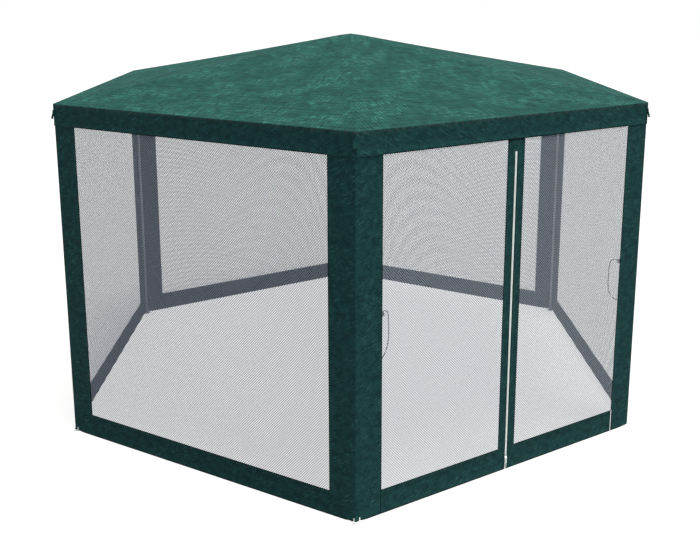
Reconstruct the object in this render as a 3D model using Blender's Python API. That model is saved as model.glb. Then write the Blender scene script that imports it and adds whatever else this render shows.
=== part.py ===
"""A hexagonal screen house: a push-fit steel tube frame, one roof cover with a
valance, five net walls and one door wall that opens at a zip. Metres, +Z up.
The origin is on the ground under the middle of the roof, and the front corner
points along -Y."""

import math

import bmesh
import bpy
from mathutils import Matrix, Vector

# Overall sizes
SIDE = 2.0  # width of one wall, outside, which is also the radius to a corner
EAVE_Z = 2.05  # top of the cover along the eaves
ROOF_RISE = 0.35  # from there up to the top of the cover in the middle
VALANCE_DROP = 0.128  # the cover's band below the eaves

# Cloth, as closed slabs
COVER_T = 0.002
BORDER_T = 0.0015
NET_T = 0.001
COVER_GAP = 0.002  # between the valance and the walls it hangs over
SEAM = 0.0003  # between two pieces that are sewn edge to edge
WALL_TOP_GAP = 0.004  # from the top of a wall up to the eaves

# Walls
SIDE_BORDER = 0.157  # solid band at each side of a net
HEM_Z = 0.006  # lower edge of every wall
HEM_TOP = 0.141  # lower edge of the nets
END_GAP = 0.0003  # from a wall's end to the corner where two walls meet

# Frame tubes and the sockets that join them
TUBE_D = 0.019
TUBE_WALL = 0.0008
SOCKET_WALL = 0.003
SOCKET_REACH = 0.065  # from the middle of a corner connector to a socket's mouth
SOCKET_SEAT = 0.022  # from there to where a tube's end rests
FIT = 0.0003  # play round a tube and at its end
FRAME_GAP = 0.002  # from the sockets to the walls
COVER_CLEAR = 0.0015  # from the eaves down to the top of a corner connector's sleeves
CORE_PROUD = 0.0005  # how far the ball in a connector stands out of its sleeves
HUB_R = 0.036
HUB_REACH = 0.095
HUB_SEAT = 0.042
HUB_UP = 0.006
HUB_DOWN = 0.018

# Feet
FOOT_R = 0.026
FOOT_RIM_Z = 0.0012  # under the rim, which leaves room for a loop of elastic
FOOT_RIM_TOP = 0.004
FOOT_PAD_R = 0.015
FOOT_CUP_WALL = 0.0025
FOOT_CUP_TOP = 0.034
FOOT_FLOOR = 0.004  # where a post's end stands

# Door wall
STRIP_HALF = 0.059  # half of the solid strip that the zip is sewn into
CREASE_DROP = 0.022  # from the top of the nets to where the two creases meet
CREASE_FOOT = 0.50  # how far to each side they reach the lower edge
CREASE_GAP = 0.0005  # on each side of a crease
CREASE_IN = 0.0005  # from the inside of the cloth to the axis of the fold
SLIT = {-1: 0.001, 1: 0.006}  # between the hem and the border, left and right

# Zip
ZIP_DROP = 0.048  # from where the creases meet to the top of the zip
ZIP_HALF = 0.008
ZIP_PROUD = 0.001  # how far the coil stands out of the cloth
ZIP_SLOT = 0.0012  # from the middle to each half's edge
ZIP_SPREAD = 0.0035  # the same below the slider, at the hem
SLIDER_Z = 0.0685
SLIDER_LONG = 0.024
SLIDER_IN = 0.0005  # how far its sides stand in from the zip's edges
PLATE_T = 0.002
PLATE_GAP = 0.0005
INNER_PLATE_T = 0.0017
NECK_HALF = 0.0008
PIN_R = 0.0008
PIN_OUT = 0.0023  # from the slider's plate to the pin
LUG_NEAR = 0.0026
LUG_FAR = 0.0038
LUG_R = 0.0014
PULL_Z = 0.005  # height of the pull's pin above the middle of the slider
PULL_LONG = 0.032
PULL_HALF = 0.004
PULL_T = 0.0016
EYE_R = 0.00195
EYE_BORE = 0.00115

# Tie-back cords, held at both ends on the side borders inside the door wall
CORD_D = 0.0045
CORD_STEP = 2.5  # diameters from point to point
TIE_ROUTE = (  # across from the border's edge, inwards, up
    (-0.005, 0.0003, 1.105),
    (-0.005, 0.009, 1.105),
    (0.010, 0.022, 1.111),
    (0.038, 0.027, 1.110),
    (0.052, 0.0275, 1.092),
    (0.0565, 0.0275, 1.035),
    (0.0565, 0.0275, 0.965),
    (0.049, 0.027, 0.920),
    (0.033, 0.024, 0.885),
    (0.011, 0.016, 0.865),
    (-0.005, 0.009, 0.859),
    (-0.005, 0.0003, 0.859),
)

STEPS = 16  # sides of a round piece

# Places that follow from the sizes
APEX_Z = EAVE_Z + ROOF_RISE
SOCKET_D = TUBE_D + 2 * SOCKET_WALL
CORE_R = SOCKET_D / 2 + CORE_PROUD
FOOT_CUP_R = TUBE_D / 2 + FOOT_CUP_WALL
APOTHEM = math.cos(math.radians(30))
WALL_OUT = SIDE * APOTHEM  # outer face of the walls, from the middle
WALL_IN = WALL_OUT - BORDER_T
COVER_OUT = WALL_OUT + COVER_GAP + COVER_T
FRAME_IN = WALL_IN - FRAME_GAP - SOCKET_D / 2  # centre line of rails and posts
POST_R = FRAME_IN / APOTHEM
NODE_Z = EAVE_Z - COVER_CLEAR - SOCKET_D / 2  # middle of a corner connector
RISE = ROOF_RISE * APOTHEM / COVER_OUT  # slope of the cover along a hip
HUB_Z = NODE_Z + POST_R * RISE
WINDOW_TOP = EAVE_Z - VALANCE_DROP
WALL_TOP = EAVE_Z - WALL_TOP_GAP
CREASE_TOP = WINDOW_TOP - CREASE_DROP
CREASE_LEAN = math.atan2(CREASE_FOOT, CREASE_TOP - HEM_Z)
ZIP_TOP = CREASE_TOP - ZIP_DROP
SLIDER_HALF = ZIP_HALF - SLIDER_IN
WALL_HALF = WALL_IN / APOTHEM / 2 - END_GAP
WINDOW_HALF = SIDE / 2 - SIDE_BORDER
CORNERS = ("front", "front_right", "back_right", "back", "back_left", "front_left")
WALLS = ("front_right", "right", "back_right", "back_left", "left", "front_left")
DOOR = "front_right"


def clear_scene():
    for thing in list(bpy.data.objects):
        bpy.data.objects.remove(thing)


def material(name, colour, roughness, metallic=0.0):
    made = bpy.data.materials.new(name)
    made.use_nodes = True
    shader = made.node_tree.nodes["Principled BSDF"]
    shader.inputs["Base Color"].default_value = (*colour, 1)
    shader.inputs["Roughness"].default_value = roughness
    shader.inputs["Metallic"].default_value = metallic
    made.diffuse_color = (*colour, 1)
    return made


def add(name, mesh, look, place=Matrix.Identity(4)):
    """One named object with its own place and material."""
    thing = bpy.data.objects.new(name, mesh)
    bpy.context.scene.collection.objects.link(thing)
    thing.matrix_world = place
    if look:
        mesh.materials.clear()
        mesh.materials.append(look)
    return thing


def mesh_from(bm, name, round_piece=False):
    bmesh.ops.recalc_face_normals(bm, faces=bm.faces)
    mesh = bpy.data.meshes.new(name)
    bm.to_mesh(mesh)
    bm.free()
    if round_piece:
        mesh.shade_smooth()
        mesh.set_sharp_from_angle(angle=math.radians(35))
    return mesh


def turned(name, profile, closed=False):
    """A solid of revolution about Z. The profile is (radius, height) points; it
    starts and ends on the axis, or goes round a hollow if it is closed."""
    bm = bmesh.new()
    points = [bm.verts.new((r, 0, z)) for r, z in profile]
    pairs = list(zip(points, points[1:]))
    if closed:
        pairs.append((points[-1], points[0]))
    edges = [bm.edges.new(pair) for pair in pairs]
    bmesh.ops.spin(
        bm, geom=points + edges, axis=(0, 0, 1), cent=(0, 0, 0),
        angle=math.tau, steps=STEPS, use_merge=True,
    )
    bmesh.ops.remove_doubles(bm, verts=bm.verts, dist=1e-6)
    return mesh_from(bm, name, round_piece=True)


def tube(name, length, outer, wall):
    inner = outer / 2 - wall
    profile = ((inner, 0), (outer / 2, 0), (outer / 2, length), (inner, length))
    return turned(name, profile, closed=True)


def rod(name, radius, low, high):
    return turned(name, ((0, low), (radius, low), (radius, high), (0, high)))


def slab(name, outline, near, far):
    """A flat piece of any outline, given as (across, up), between two depths."""
    bm = bmesh.new()
    face = bm.faces.new([bm.verts.new((x, near, z)) for x, z in outline])
    grown = bmesh.ops.extrude_face_region(bm, geom=[face])
    moved = [v for v in grown["geom"] if isinstance(v, bmesh.types.BMVert)]
    bmesh.ops.translate(bm, verts=moved, vec=(0, far - near, 0))
    return mesh_from(bm, name)


def frame_slab(name, outer, inner, near, far):
    """A flat frame between an outer and an inner outline with as many points."""
    bm = bmesh.new()
    loops = []
    for outline, depth in ((outer, near), (outer, far), (inner, far), (inner, near)):
        loops.append([bm.verts.new((x, depth, z)) for x, z in outline])
    for a, b in zip(loops, loops[1:] + loops[:1]):
        for i, start in enumerate(a):
            j = (i + 1) % len(a)
            bm.faces.new((start, a[j], b[j], b[i]))
    return mesh_from(bm, name)


def box_outline(left, right, low, high):
    return ((left, low), (right, low), (right, high), (left, high))


def aimed(start, direction):
    """A place at start whose Z axis points along direction."""
    turn = Vector(direction).to_track_quat("Z", "Y").to_matrix().to_4x4()
    return Matrix.Translation(start) @ turn


def corner_angle(index):
    return math.radians(60 * index - 90)


def on_circle(radius, angle, z=0.0):
    return Vector((radius * math.cos(angle), radius * math.sin(angle), z))


def wall_place(index):
    """Where a wall's own axes lie: X across to the right as seen from outside,
    Y inwards from the wall's inner face, Z up."""
    normal = corner_angle(index) + math.radians(30)
    turn = Matrix.Rotation(normal + math.radians(90), 4, "Z")
    return Matrix.Translation(on_circle(WALL_IN, normal)) @ turn


def combined(name, body, steps, place=Matrix.Identity(4)):
    """The mesh of body after Boolean steps, each (operation, mesh, place)."""
    base = add(name + "_body", body, None, place)
    helpers = [base]
    for number, (operation, mesh, at) in enumerate(steps):
        tool = add(f"{name}_tool_{number}", mesh, None, at)
        tool.hide_render = True
        tool.display_type = "WIRE"
        helpers.append(tool)
        cut = base.modifiers.new(f"step_{number}", "BOOLEAN")
        cut.operation = operation
        cut.solver = "EXACT"
        cut.object = tool
    bpy.context.view_layer.update()
    graph = bpy.context.evaluated_depsgraph_get()
    mesh = bpy.data.meshes.new_from_object(base.evaluated_get(graph))
    mesh.transform(place)
    mesh.name = name
    mesh.shade_smooth()
    mesh.set_sharp_from_angle(angle=math.radians(35))
    for helper in helpers:
        bpy.data.objects.remove(helper)
    return mesh


def socket_mesh(name, core, directions, reach, seat):
    """A moulded connector: one sleeve along each direction, bored to take a tube."""
    sleeve = rod(name + "_sleeve", SOCKET_D / 2, 0, reach)
    bore = rod(name + "_bore", TUBE_D / 2 + FIT, seat, reach + SOCKET_D)
    steps = [("UNION", sleeve, aimed((0, 0, 0), d)) for d in directions]
    steps += [("DIFFERENCE", bore, aimed((0, 0, 0), d)) for d in directions]
    return combined(name, core, steps)


def make_frame(steel, plastic):
    """Feet, posts, rails, rafters and the connectors between them."""
    foot = turned("foot", (
        (0, 0), (FOOT_PAD_R, 0), (FOOT_PAD_R, FOOT_RIM_Z), (FOOT_R, FOOT_RIM_Z),
        (FOOT_R, FOOT_RIM_TOP), (FOOT_CUP_R, FOOT_RIM_TOP), (FOOT_CUP_R, FOOT_CUP_TOP),
        (TUBE_D / 2 + FIT, FOOT_CUP_TOP), (TUBE_D / 2 + FIT, FOOT_FLOOR),
        (0, FOOT_FLOOR),
    ))
    post_low = FOOT_FLOOR + FIT
    post_long = NODE_Z - SOCKET_SEAT - FIT - post_low
    rail_long = POST_R - 2 * (SOCKET_SEAT + FIT)
    slope = Vector((1, 0, -RISE)).normalized()
    rafter_long = POST_R * math.hypot(1, RISE) - SOCKET_SEAT - HUB_SEAT - 2 * FIT
    post = tube("post", post_long, TUBE_D, TUBE_WALL)
    rail = tube("rail", rail_long, TUBE_D, TUBE_WALL)
    rafter = tube("rafter", rafter_long, TUBE_D, TUBE_WALL)

    # A connector at angle 0: its inside faces -X, and its rails leave at 60
    # degrees to each side of that.
    towards_rails = [(-0.5, s * math.sin(math.radians(60)), 0) for s in (-1, 1)]
    connector = socket_mesh(
        "connector", round_core(CORE_R), [(0, 0, -1), -slope, *towards_rails],
        SOCKET_REACH, SOCKET_SEAT,
    )
    hub_arms = []
    for index in range(6):
        angle = corner_angle(index)
        hub_arms.append((math.cos(angle), math.sin(angle), -RISE))
    hub = socket_mesh(
        "hub", rod("hub_core", HUB_R, -HUB_DOWN, HUB_UP), hub_arms, HUB_REACH, HUB_SEAT,
    )

    for index, corner in enumerate(CORNERS):
        angle = corner_angle(index)
        spot = on_circle(POST_R, angle)
        node = on_circle(POST_R, angle, NODE_Z)
        after = on_circle(POST_R, corner_angle(index + 1), NODE_Z)
        turn = Matrix.Rotation(angle, 4, "Z")
        add("foot_" + corner, foot.copy(), plastic, Matrix.Translation(spot) @ turn)
        add("post_" + corner, post.copy(), steel,
            Matrix.Translation(spot + Vector((0, 0, post_low))) @ turn)
        add("corner_connector_" + corner, connector.copy(), plastic,
            Matrix.Translation(node) @ turn)
        along = (after - node).normalized()
        add("eave_rail_" + WALLS[index], rail.copy(), steel,
            aimed(node + along * (SOCKET_SEAT + FIT), along))
        up = (Vector((0, 0, HUB_Z)) - node).normalized()
        add("rafter_" + corner, rafter.copy(), steel,
            aimed(node + up * (SOCKET_SEAT + FIT), up))
    add("apex_hub", hub, plastic, Matrix.Translation((0, 0, HUB_Z)))


def round_core(radius):
    bm = bmesh.new()
    bmesh.ops.create_uvsphere(bm, u_segments=STEPS, v_segments=STEPS // 2, radius=radius)
    return mesh_from(bm, "core", round_piece=True)


def make_cover(cloth):
    """One thin shell: six sloping panels and the valance round their edge."""
    rise = ROOF_RISE / COVER_OUT
    inside = COVER_OUT - COVER_T
    sunk = COVER_T * math.hypot(1, rise)
    eave_in = EAVE_Z - sunk + COVER_T * rise
    bm = bmesh.new()
    rings = []
    for apothem, z in (
        (COVER_OUT, EAVE_Z), (COVER_OUT, WINDOW_TOP), (inside, WINDOW_TOP),
        (inside, eave_in),
    ):
        corners = [on_circle(apothem / APOTHEM, corner_angle(i), z) for i in range(6)]
        rings.append([bm.verts.new(c) for c in corners])
    tips = [bm.verts.new((0, 0, APEX_Z)), bm.verts.new((0, 0, APEX_Z - sunk))]
    for i in range(6):
        j = (i + 1) % 6
        bm.faces.new((tips[0], rings[0][i], rings[0][j]))
        bm.faces.new((tips[1], rings[3][j], rings[3][i]))
        for a, b in zip(rings, rings[1:]):
            bm.faces.new((a[i], b[i], b[j], a[j]))
    add("roof_cover", mesh_from(bm, "roof_cover"), cloth)


def make_plain_wall(index, cloth, net):
    place = wall_place(index)
    inset = WINDOW_HALF - SEAM
    border = frame_slab(
        "border", box_outline(-WALL_HALF, WALL_HALF, HEM_Z, WALL_TOP),
        box_outline(-WINDOW_HALF, WINDOW_HALF, HEM_TOP, WINDOW_TOP), -BORDER_T, 0,
    )
    add("wall_border_" + WALLS[index], border, cloth, place)
    outline = box_outline(-inset, inset, HEM_TOP + SEAM, WINDOW_TOP - SEAM)
    add("wall_net_" + WALLS[index], net_slab("net", outline), net, place)


def net_slab(name, outline):
    back = -(BORDER_T - NET_T) / 2
    return slab(name, outline, back - NET_T, back)


def crease_across(z, gap=0.0):
    """How far from the middle the crease is at height z, moved outwards by gap."""
    return (CREASE_TOP - z) * math.tan(CREASE_LEAN) + gap / math.cos(CREASE_LEAN)


def crease_height(across, gap=0.0):
    return CREASE_TOP - (across - gap / math.cos(CREASE_LEAN)) / math.tan(CREASE_LEAN)


def sided(side, outline):
    """An outline drawn for the right side, or its mirror image for the left."""
    return [(side * x, z) for x, z in outline]


def crease_axis(place, side):
    """An empty on the crease, its Z axis along the fold's axis."""
    top = place @ Vector((0, CREASE_IN, CREASE_TOP))
    foot = place @ Vector((side * CREASE_FOOT, CREASE_IN, HEM_Z))
    name = "crease_right" if side > 0 else "crease_left"
    empty = bpy.data.objects.new(name, None)
    bpy.context.scene.collection.objects.link(empty)
    empty.matrix_world = aimed(foot, (top - foot) * -side)
    return empty


def hang_on(parent, *things):
    bpy.context.view_layer.update()
    for thing in things:
        thing.parent = parent
        thing.matrix_parent_inverse = parent.matrix_world.inverted()


def make_door_border(place, cloth):
    """Header, side borders and the tongue that ends in a notch above the zip."""
    outline = [(0, crease_height(0, CREASE_GAP))]
    for side in (1, -1):
        edge = WINDOW_HALF + SLIT[side]
        half = sided(side, (
            (STRIP_HALF, crease_height(STRIP_HALF, CREASE_GAP)),
            (STRIP_HALF, WINDOW_TOP), (WINDOW_HALF, WINDOW_TOP),
            (WINDOW_HALF, HEM_TOP), (edge, HEM_TOP), (edge, HEM_Z),
            (WALL_HALF, HEM_Z), (WALL_HALF, WALL_TOP),
        ))
        outline += half if side > 0 else half[::-1]
    add("door_border", slab("door_border", outline, -BORDER_T, 0), cloth, place)


def make_door_side(place, side, cloth, net, white):
    """One leaf of the door: the part that stays, the flap and its zip half."""
    word = "right" if side > 0 else "left"
    low, high = HEM_TOP + SEAM, WINDOW_TOP - SEAM
    near, out = STRIP_HALF + SEAM, WINDOW_HALF - SEAM
    stay, flap = CREASE_GAP, -CREASE_GAP
    add("door_net_" + word, net_slab("door_net", sided(side, (
        (near, crease_height(near, stay)), (near, high), (out, high), (out, low),
        (crease_across(low, stay), low),
    ))), net, place)
    add("door_hem_" + word, slab("door_hem", sided(side, (
        (crease_across(HEM_Z, stay), HEM_Z), (out, HEM_Z), (out, HEM_TOP),
        (crease_across(HEM_TOP, stay), HEM_TOP),
    )), -BORDER_T, 0), cloth, place)

    zip_edge = ZIP_HALF + SEAM
    edge = add("flap_edge_" + word, slab("flap_edge", sided(side, (
        (zip_edge, HEM_Z), (crease_across(HEM_Z, flap), HEM_Z),
        (crease_across(HEM_TOP, flap), HEM_TOP), (STRIP_HALF, HEM_TOP),
        (STRIP_HALF, crease_height(STRIP_HALF, flap)),
        (zip_edge, crease_height(zip_edge, flap)),
    )), -BORDER_T, 0), cloth, place)
    panel = add("flap_net_" + word, net_slab("flap_net", sided(side, (
        (near, low), (crease_across(low, flap), low), (near, crease_height(near, flap)),
    ))), net, place)
    above = SLIDER_Z + SLIDER_LONG
    half = add("zip_half_" + word, slab("zip_half", sided(side, (
        (ZIP_SPREAD, HEM_Z), (ZIP_HALF, HEM_Z), (ZIP_HALF, ZIP_TOP),
        (ZIP_SLOT, ZIP_TOP), (ZIP_SLOT, above),
    )), -BORDER_T - ZIP_PROUD, 0), white, place)
    axis = crease_axis(place, side)
    hang_on(axis, edge, panel, half)
    return half


def make_zip(place, white, left_half):
    """The slider and its pull. The slider runs up the left flap's half."""
    centre = place @ Matrix.Translation((0, 0, SLIDER_Z))
    face = -BORDER_T - ZIP_PROUD - PLATE_GAP
    front = face - PLATE_T
    pin_y = front - PIN_OUT
    wide, long = SLIDER_HALF, SLIDER_LONG / 2
    shoulder = (
        (-wide * 0.7, -long), (wide * 0.7, -long), (wide, -long * 0.5),
        (wide, long * 0.7), (wide * 0.7, long), (-wide * 0.7, long),
        (-wide, long * 0.7), (-wide, -long * 0.5),
    )
    back = PLATE_GAP + INNER_PLATE_T
    steps = [
        ("UNION", slab("back", shoulder, PLATE_GAP, back), Matrix.Identity(4)),
        ("UNION", slab("neck", box_outline(
            -NECK_HALF, NECK_HALF, long * 0.2, long * 0.8), front + PLATE_T / 2,
            back - INNER_PLATE_T / 2), Matrix.Identity(4)),
    ]
    for side in (-1, 1):
        lug = box_outline(
            *sorted((side * LUG_NEAR, side * LUG_FAR)), PULL_Z - LUG_R, PULL_Z + LUG_R)
        steps.append(("UNION", slab("lug", lug, pin_y - LUG_R, front + PLATE_T / 2),
                      Matrix.Identity(4)))
    pin = rod("pin", PIN_R, -(LUG_NEAR + LUG_FAR) / 2, (LUG_NEAR + LUG_FAR) / 2)
    across = aimed((0, pin_y, PULL_Z), (1, 0, 0))
    steps.append(("UNION", pin, across))
    body = combined("zip_slider", slab("front", shoulder, front, face), steps)
    slider = add("zip_slider", body, white, centre)
    hang_on(left_half, slider)

    reach = LUG_NEAR - FIT
    tab = slab("tab", (
        (-reach, 0), (reach, 0), (reach, -EYE_R - FIT), (PULL_HALF, -EYE_R - 2 * PULL_HALF),
        (PULL_HALF, -PULL_LONG), (-PULL_HALF, -PULL_LONG),
        (-PULL_HALF, -EYE_R - 2 * PULL_HALF), (-reach, -EYE_R - FIT),
    ), -PULL_T / 2, PULL_T / 2)
    eye = aimed((0, 0, 0), (1, 0, 0))
    pull = combined("zip_pull", rod("eye", EYE_R, -reach, reach), [
        ("UNION", tab, Matrix.Identity(4)),
        ("DIFFERENCE", rod("bore", EYE_BORE, -PULL_HALF, PULL_HALF), eye),
    ], eye)
    hung = add("zip_pull", pull, white, centre @ Matrix.Translation((0, pin_y, PULL_Z)))
    hang_on(slider, hung)


def smooth_line(points, step):
    """Points about step apart on a smooth curve through the given ones."""
    ends = [2 * points[0] - points[1], *points, 2 * points[-1] - points[-2]]
    line = [points[0]]
    for a, b, c, d in zip(ends, ends[1:], ends[2:], ends[3:]):
        count = max(1, round((c - b).length / step))
        for k in range(1, count + 1):
            t = k / count
            line.append(0.5 * (
                2 * b + (c - a) * t + (2 * a - 5 * b + 4 * c - d) * t ** 2
                + (3 * b - a - 3 * c + d) * t ** 3
            ))
    return line


def make_tie_back(place, side, look):
    route = [
        place @ Vector((side * (WINDOW_HALF - across), inwards, z))
        for across, inwards, z in TIE_ROUTE
    ]
    line = smooth_line(route, CORD_STEP * CORD_D)
    curve = bpy.data.curves.new("tie_back", "CURVE")
    curve.dimensions = "3D"
    curve.bevel_depth = CORD_D / 2
    curve.bevel_resolution = 2
    curve.use_fill_caps = True
    spline = curve.splines.new("POLY")
    spline.points.add(len(line) - 1)
    for point, at in zip(spline.points, line):
        point.co = (*at, 1)
    add("tie_back_right" if side > 0 else "tie_back_left", curve, look)


def main():
    clear_scene()
    steel = material("grey_coated_steel", (0.38, 0.42, 0.47), 0.4, 0.6)
    plastic = material("pale_plastic", (0.75, 0.78, 0.82), 0.45)
    cover = material("green_sheeting", (0.035, 0.13, 0.09), 0.55)
    border = material("dark_green_sheeting", (0.014, 0.055, 0.05), 0.55)
    net = material("grey_net", (0.55, 0.56, 0.6), 0.8)
    white = material("white_zip", (0.85, 0.87, 0.86), 0.5)
    cord = material("grey_cord", (0.45, 0.5, 0.56), 0.7)
    make_frame(steel, plastic)
    make_cover(cover)
    for index, wall in enumerate(WALLS):
        if wall != DOOR:
            make_plain_wall(index, border, net)
    place = wall_place(WALLS.index(DOOR))
    make_door_border(place, border)
    halves = [make_door_side(place, side, border, net, white) for side in (-1, 1)]
    make_zip(place, white, halves[0])
    for side in (-1, 1):
        make_tie_back(place, side, cord)


main()
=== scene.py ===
import math

import bmesh
import bpy
from mathutils import Matrix, Vector, noise


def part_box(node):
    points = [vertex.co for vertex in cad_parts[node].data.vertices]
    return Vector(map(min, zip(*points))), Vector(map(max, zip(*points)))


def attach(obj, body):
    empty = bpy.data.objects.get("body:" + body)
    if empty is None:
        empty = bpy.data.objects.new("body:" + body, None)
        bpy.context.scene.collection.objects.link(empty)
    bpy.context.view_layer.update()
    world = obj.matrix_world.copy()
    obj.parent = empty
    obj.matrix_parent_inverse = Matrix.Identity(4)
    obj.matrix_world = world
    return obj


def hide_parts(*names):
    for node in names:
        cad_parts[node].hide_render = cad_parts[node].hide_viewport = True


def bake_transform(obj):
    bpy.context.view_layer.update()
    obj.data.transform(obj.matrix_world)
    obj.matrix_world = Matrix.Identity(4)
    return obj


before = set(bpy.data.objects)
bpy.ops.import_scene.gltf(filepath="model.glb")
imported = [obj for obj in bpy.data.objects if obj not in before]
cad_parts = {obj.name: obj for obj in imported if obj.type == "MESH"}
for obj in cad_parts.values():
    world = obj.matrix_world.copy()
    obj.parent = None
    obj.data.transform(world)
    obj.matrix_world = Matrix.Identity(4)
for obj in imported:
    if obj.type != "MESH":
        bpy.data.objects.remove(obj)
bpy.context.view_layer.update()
print("screen house: the frame is loaded")

root = "frame_and_walls"
leaf = {-1: "door_flap_left", 1: "door_flap_right"}
sideName = {-1: "Left", 1: "Right"}
cadSide = {-1: "left", 1: "right"}
cornerNames = ("front", "front_right", "back_right", "back", "back_left", "front_left")
wallNames = ("front_right", "right", "back_right", "back_left", "left", "front_left")

# The sizes that the CAD pieces give, in metres
size = {
    "clothDepth": 0.0015,      # the CAD border's thickness
    "hemFoot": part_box("wall_border_right")[0][2],
    "hemTop": 0.141,           # lower edge of the nets
    "windowTop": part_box("roof_cover")[0][2],
    "apex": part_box("roof_cover")[1][2],
    "eave": 2.05,
    "sideBorder": 0.157,
    "stripHalf": 0.059,        # half of the strip that holds the zip
    "zipHalf": 0.008,
    "creaseTop": 1.900,        # the door's creases meet here
    "creaseFoot": 0.50,        # and are this far apart from the middle at the foot
    "zipTop": 1.852,
}
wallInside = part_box("wall_border_right")[1][0] - size["clothDepth"]
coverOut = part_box("roof_cover")[1][0]
cosWall = math.cos(math.radians(30))
outerHalf = (wallInside + size["clothDepth"]) / cosWall / 2    # half of a wall's width
cornerTurn = {"radius": 0.010, "steps": 4}    # the cloth's turn at a post
cornerTurn["from"] = outerHalf - cornerTurn["radius"] * math.tan(math.radians(30))
wallHalf = cornerTurn["from"] + cornerTurn["radius"] * math.radians(30.5)
windowHalf = outerHalf - size["sideBorder"]
postRadius = -(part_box("post_front")[0][1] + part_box("post_front")[1][1]) / 2


def onCircle(radius, degrees, z=0.0):
    turn = math.radians(degrees)
    return Vector((radius * math.cos(turn), radius * math.sin(turn), z))


def wallPlace(index):
    # A wall's own axes: x across to the right from outside, y inwards, z up
    normal = 60 * index - 60
    turn = Matrix.Rotation(math.radians(normal + 90), 4, "Z")
    return Matrix.Translation(onCircle(wallInside, normal)) @ turn


doorPlace = wallPlace(wallNames.index("front_right"))


# The camera stands to the left of the front corner and looks slightly down
camera = {
    "spot": (-0.0685, -6.0614, 2.725),
    "ahead": (0.0188, 0.9805, -0.1958),
    "right": (0.99982, -0.0192, 0.0),
    "lens": 45.017,
    "shift": (-0.0106, -0.1592),
}


def addCamera():
    ahead = Vector(camera["ahead"]).normalized()
    right = Vector(camera["right"]).normalized()
    up = right.cross(ahead)
    eye = bpy.data.objects.new("camera", bpy.data.cameras.new("camera"))
    bpy.context.scene.collection.objects.link(eye)
    turn = Matrix((right, up, -ahead)).transposed().to_4x4()
    eye.matrix_world = Matrix.Translation(camera["spot"]) @ turn
    eye.data.sensor_width = 36
    eye.data.lens = camera["lens"]
    eye.data.shift_x, eye.data.shift_y = camera["shift"]
    eye.data.clip_end = 200
    bpy.context.scene.camera = eye


addCamera()


def addNode(tree, kind, **settings):
    node = tree.nodes.new(kind)
    for name, value in settings.items():
        setattr(node, name, value)
    return node


def feed(tree, socket, value):
    # A socket takes another's output, or a plain number or colour
    if isinstance(value, bpy.types.NodeSocket):
        tree.links.new(value, socket)
    else:
        socket.default_value = value


def maths(tree, operation, *values):
    node = addNode(tree, "ShaderNodeMath", operation=operation)
    for socket, value in zip(node.inputs, values):
        feed(tree, socket, value)
    return node.outputs[0]


def ramp(tree, value, low, high, start=0.0, end=1.0):
    node = addNode(tree, "ShaderNodeMapRange", interpolation_type="SMOOTHSTEP")
    for socket, given in zip(node.inputs, (value, low, high, start, end)):
        feed(tree, socket, given)
    return node.outputs[0]


def tint(tree, share, first, second, mode="MIX"):
    node = addNode(tree, "ShaderNodeMix", data_type="RGBA", blend_type=mode)
    feed(tree, node.inputs[0], share)
    for socket, value in ((node.inputs[6], first), (node.inputs[7], second)):
        feed(tree, socket, (*value, 1) if isinstance(value, tuple) else value)
    return node.outputs[2]


def newGroup(name, inputs, outputs):
    tree = bpy.data.node_groups.new(name, "ShaderNodeTree")
    for label, kind, value in inputs:
        socket = tree.interface.new_socket(label, in_out="INPUT", socket_type=kind)
        if value is not None:
            socket.default_value = value
    for label in outputs:
        tree.interface.new_socket(label, in_out="OUTPUT", socket_type="NodeSocketFloat")
    return tree, tree.nodes.new("NodeGroupInput"), tree.nodes.new("NodeGroupOutput")


def scaledNoise(tree, vector, scale, detail, roughness):
    node = addNode(tree, "ShaderNodeTexNoise")
    feed(tree, node.inputs["Vector"], vector)
    feed(tree, node.inputs["Scale"], scale)
    node.inputs["Detail"].default_value = detail
    node.inputs["Roughness"].default_value = roughness
    return node.outputs[0]


def weaveGroup():
    # Two families of slanted threads, Period apart across and Rise apart upwards
    tree, inside, out = newGroup("slantedWeave", (
        ("Vector", "NodeSocketVector", None), ("Period", "NodeSocketFloat", 0.006),
        ("Rise", "NodeSocketFloat", 0.006),
    ), ("Height", "Crossing"))
    split = addNode(tree, "ShaderNodeSeparateXYZ")
    tree.links.new(inside.outputs[0], split.inputs[0])
    across = maths(tree, "DIVIDE", split.outputs[0], inside.outputs[1])
    up = maths(tree, "DIVIDE", split.outputs[1], inside.outputs[2])
    waves = []
    for operation in ("ADD", "SUBTRACT"):
        turns = maths(tree, operation, across, up)
        waves.append(maths(tree, "SINE", maths(tree, "MULTIPLY", turns, math.tau)))
    tree.links.new(maths(tree, "MAXIMUM", *waves), out.inputs[0])
    tree.links.new(maths(tree, "MULTIPLY", *waves), out.inputs[1])
    return tree


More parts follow.
